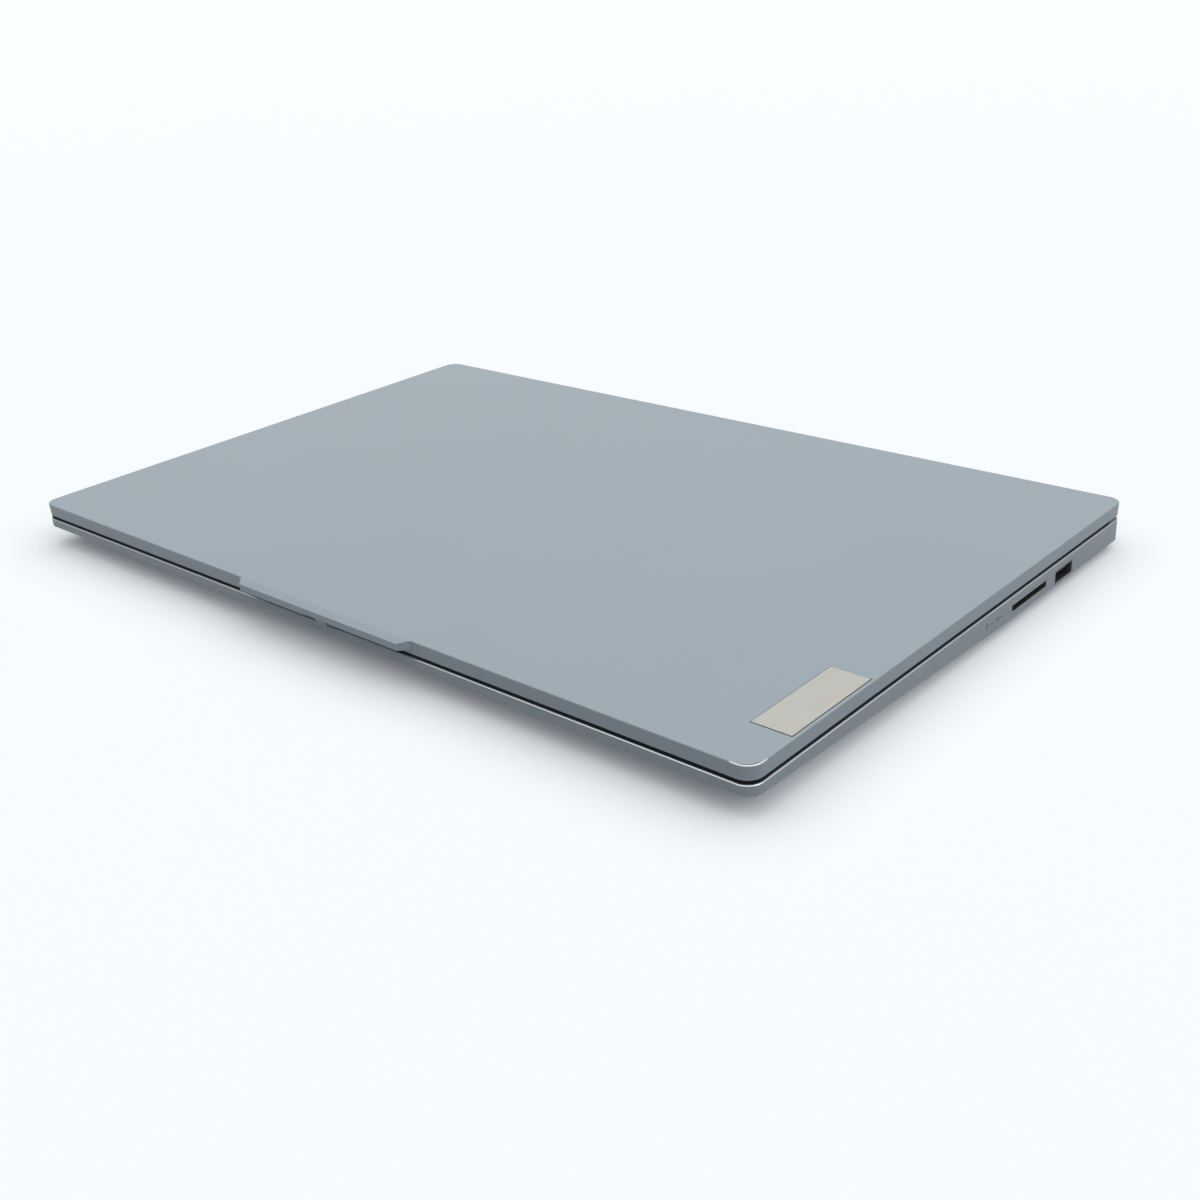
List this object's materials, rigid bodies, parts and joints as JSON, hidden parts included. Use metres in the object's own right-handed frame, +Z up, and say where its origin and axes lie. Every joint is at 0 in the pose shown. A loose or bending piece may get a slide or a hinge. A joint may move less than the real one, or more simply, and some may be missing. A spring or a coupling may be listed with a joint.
{
  "type": "laptop computer",
  "caption": "Thin grey clamshell laptop with a camera lip, keyboard with number pad, touchpad, side ports and a lid that opens on two friction hinges.",
  "frame": {"origin": "centre of the bounding box's foot, on the surface that the rubber feet rest on", "axes": "+X to the user's right along the front edge, +Y to the hinge, +Z up"},
  "size_m": [0.3592, 0.2384, 0.018],
  "materials": {
    "grey_shell": "satin",
    "grey_case": "satin",
    "badge_metal": "brushed",
    "black_plastic": "matte",
    "key_plastic": "matte",
    "screen": "gloss",
    "lens_glass": "gloss",
    "rubber": "matte",
    "steel": "brushed",
    "port_steel": "satin",
    "copper": "satin",
    "alloy": "satin",
    "board": "satin",
    "battery_black": "matte",
    "light_pipe": "gloss"
  },
  "bodies": {
    "base": {"bracket_screws": "steel", "base_hinge_bracket_right": "steel", "base_hinge_bracket_left": "steel", "hinge_pin_right": "steel", "hinge_pin_left": "steel", "speaker_right": "black_plastic", "speaker_left": "black_plastic", "top_case": "grey_case", "bottom_cover": "grey_case", "key_domes": "rubber", "keyboard_plate": "alloy", "power_board": "board", "touchpad_bracket": "steel", "mainboard": "board", "side_board": "board", "processor": "black_plastic", "heat_pipe": "copper", "heat_sink_fins": "alloy", "fan_housing": "black_plastic", "battery_pack": "battery_black", "speaker_cones": "black_plastic", "storage_drive": "board", "memory_module": "board", "wireless_card": "board", "ribbon_cable": "black_plastic", "data_port_right": "port_steel", "data_port_left": "port_steel", "video_port": "port_steel", "oval_port": "port_steel", "headphone_jack": "black_plastic", "power_inlet": "black_plastic", "card_reader": "port_steel", "indicator_lights": "light_pipe", "rear_foot": "rubber", "front_feet": "rubber", "bottom_screws": "steel"},
    "lid": {"lid_cover": "grey_shell", "badge_plate": "badge_metal", "screen_bezel": "black_plastic", "display_panel": "screen", "screen_gasket": "rubber", "camera_module": "board", "camera_lens": "lens_glass", "hinge_cover": "black_plastic", "hinge_screws": "steel", "lid_hinge_bracket_right": "steel", "lid_hinge_bracket_left": "steel"},
    "camera_shutter": {"camera_shutter": "grey_case"},
    "fan_rotor": {"fan_rotor": "black_plastic"},
    "touchpad": {"touchpad": "grey_case"},
    "power_button": {"power_button": "grey_case"},
    "function_row_keys": {"function_row_keys": "key_plastic"},
    "number_row_keys": {"number_row_keys": "key_plastic"},
    "upper_letter_keys": {"upper_letter_keys": "key_plastic"},
    "home_letter_keys": {"home_letter_keys": "key_plastic"},
    "lower_letter_keys": {"lower_letter_keys": "key_plastic"},
    "bottom_row_keys": {"bottom_row_keys": "key_plastic"},
    "space_bar": {"space_bar": "key_plastic"},
    "arrow_keys": {"arrow_keys": "key_plastic"},
    "number_pad_keys": {"number_pad_keys": "key_plastic"}
  },
  "joints": [
    {"name": "lid_hinge", "type": "hinge", "parent": "base", "child": "lid", "pos_m": [0, 0.1152, 0.0088], "axis": [-1, 0, 0], "range_deg": [0, 130]},
    {"name": "camera_shutter_slide", "type": "slide", "parent": "lid", "child": "camera_shutter", "axis": [-1, 0, 0], "range_m": [0, 0.0045]},
    {"name": "fan_spin", "type": "hinge", "parent": "base", "child": "fan_rotor", "pos_m": [0.074, 0.0665, 0.0059], "axis": [0, 0, 1], "continuous": true},
    {"name": "touchpad_click", "type": "hinge", "parent": "base", "child": "touchpad", "pos_m": [0, -0.0248, 0.0106], "axis": [1, 0, 0], "range_deg": [0, 0.3], "stiffness_Nm_per_rad": 30, "springref_deg": -22.92},
    {"name": "power_button_press", "type": "slide", "parent": "base", "child": "power_button", "axis": [0, 0, -1], "range_m": [0, 0.0004], "stiffness_N_per_m": 1500, "springref_m": -0.0005},
    {"name": "function_row_keys_press", "type": "slide", "parent": "base", "child": "function_row_keys", "axis": [0, 0, -1], "range_m": [0, 0.0011], "stiffness_N_per_m": 400, "springref_m": -0.001},
    {"name": "number_row_keys_press", "type": "slide", "parent": "base", "child": "number_row_keys", "axis": [0, 0, -1], "range_m": [0, 0.0011], "stiffness_N_per_m": 400, "springref_m": -0.001},
    {"name": "upper_letter_keys_press", "type": "slide", "parent": "base", "child": "upper_letter_keys", "axis": [0, 0, -1], "range_m": [0, 0.0011], "stiffness_N_per_m": 400, "springref_m": -0.001},
    {"name": "home_letter_keys_press", "type": "slide", "parent": "base", "child": "home_letter_keys", "axis": [0, 0, -1], "range_m": [0, 0.0011], "stiffness_N_per_m": 400, "springref_m": -0.001},
    {"name": "lower_letter_keys_press", "type": "slide", "parent": "base", "child": "lower_letter_keys", "axis": [0, 0, -1], "range_m": [0, 0.0011], "stiffness_N_per_m": 400, "springref_m": -0.001},
    {"name": "bottom_row_keys_press", "type": "slide", "parent": "base", "child": "bottom_row_keys", "axis": [0, 0, -1], "range_m": [0, 0.0011], "stiffness_N_per_m": 400, "springref_m": -0.001},
    {"name": "space_bar_press", "type": "slide", "parent": "base", "child": "space_bar", "axis": [0, 0, -1], "range_m": [0, 0.0011], "stiffness_N_per_m": 400, "springref_m": -0.001},
    {"name": "arrow_keys_press", "type": "slide", "parent": "base", "child": "arrow_keys", "axis": [0, 0, -1], "range_m": [0, 0.0011], "stiffness_N_per_m": 400, "springref_m": -0.001},
    {"name": "number_pad_keys_press", "type": "slide", "parent": "base", "child": "number_pad_keys", "axis": [0, 0, -1], "range_m": [0, 0.0011], "stiffness_N_per_m": 400, "springref_m": -0.001}
  ]
}
